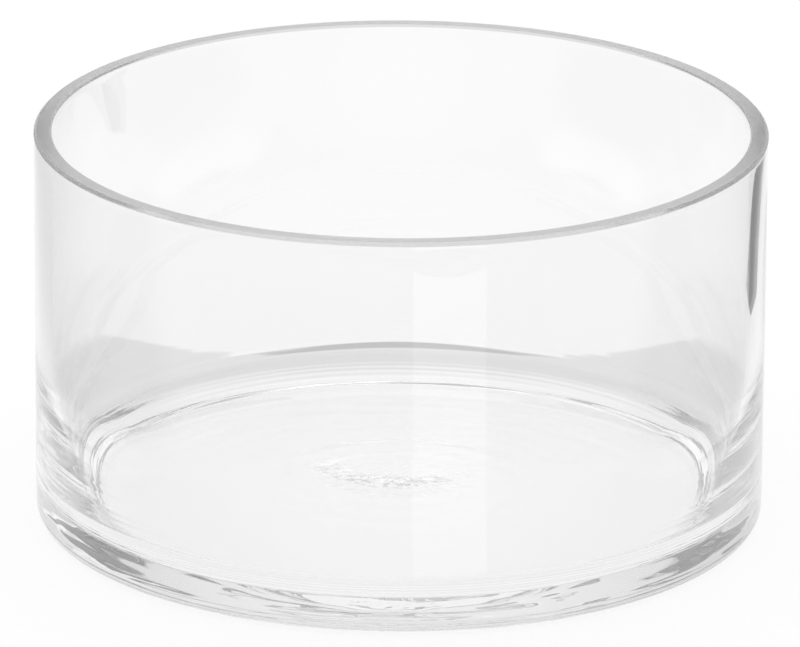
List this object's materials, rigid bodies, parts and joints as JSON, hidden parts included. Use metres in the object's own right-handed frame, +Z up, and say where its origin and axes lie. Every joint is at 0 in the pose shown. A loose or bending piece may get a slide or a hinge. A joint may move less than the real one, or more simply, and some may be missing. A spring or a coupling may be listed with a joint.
{
  "type": "glass bowl",
  "caption": "Clear straight-sided glass bowl with a ground flat rim, a thick rounded heel and a heavy flat foot.",
  "frame": {"origin": "centre of the foot ring, on the surface that the bowl stands on", "axes": "+Z up along the bowl's axis, out of its mouth; the bowl is round, so X and Y are free"},
  "size_m": [0.25, 0.25, 0.138],
  "materials": {
    "clear_glass": "fire-polished clear soda-lime glass, with a satin ground rim"
  },
  "bodies": {
    "root": {"glass_bowl": "clear_glass"}
  },
  "joints": []
}
